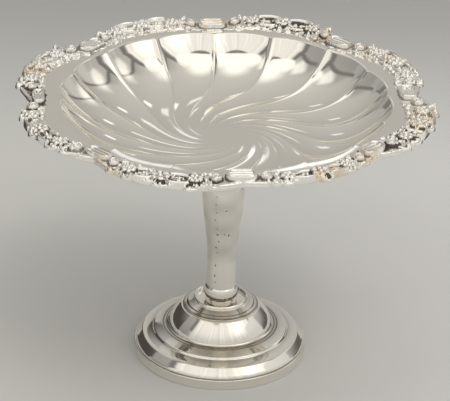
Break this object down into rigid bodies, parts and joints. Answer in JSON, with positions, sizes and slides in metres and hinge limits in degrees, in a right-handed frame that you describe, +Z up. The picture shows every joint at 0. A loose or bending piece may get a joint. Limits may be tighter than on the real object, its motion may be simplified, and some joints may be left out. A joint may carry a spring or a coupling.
{
  "type": "footed compote bowl",
  "caption": "Footed compote bowl: shallow swirl-fluted metal bowl with a lobed floral border, on a hollow baluster stem and a stepped round foot.",
  "frame": {"origin": "centre of the ring that the foot stands on, at table level", "axes": "+Z up along the axis of the stem, with the bowl on top; the lobes of the rim are turned 5.3 degrees from +X"},
  "size_m": [0.2517, 0.2507, 0.1759],
  "materials": {
    "polished_silver": "polished silver plate, fine wipe marks",
    "cast_silver": "cast and silver plated, bright on the heights, brown tarnish in the hollows",
    "stem_silver": "silver plate with small dark pits along the seam",
    "foot_silver": "polished silver plate, dull in the grooves",
    "plain_metal": "dull silver plate, soldered",
    "steel": "plain steel, turned",
    "brass": "plain brass, turned"
  },
  "bodies": {
    "root": {"bowl": "polished_silver", "border_section_1": "cast_silver", "border_section_2": "cast_silver", "border_section_3": "cast_silver", "border_section_4": "cast_silver", "border_section_5": "cast_silver", "border_section_6": "cast_silver", "border_section_7": "cast_silver", "border_section_8": "cast_silver", "bowl_socket": "plain_metal", "stem_cap": "polished_silver", "stem_half_left": "stem_silver", "stem_half_right": "stem_silver", "stem_base_ring": "stem_silver", "foot_collar": "foot_silver", "foot": "foot_silver", "foot_rim_wire": "foot_silver", "tie_rod": "steel", "bearing_washer": "brass", "spring_washer": "steel", "hex_nut": "brass"}
  },
  "joints": []
}
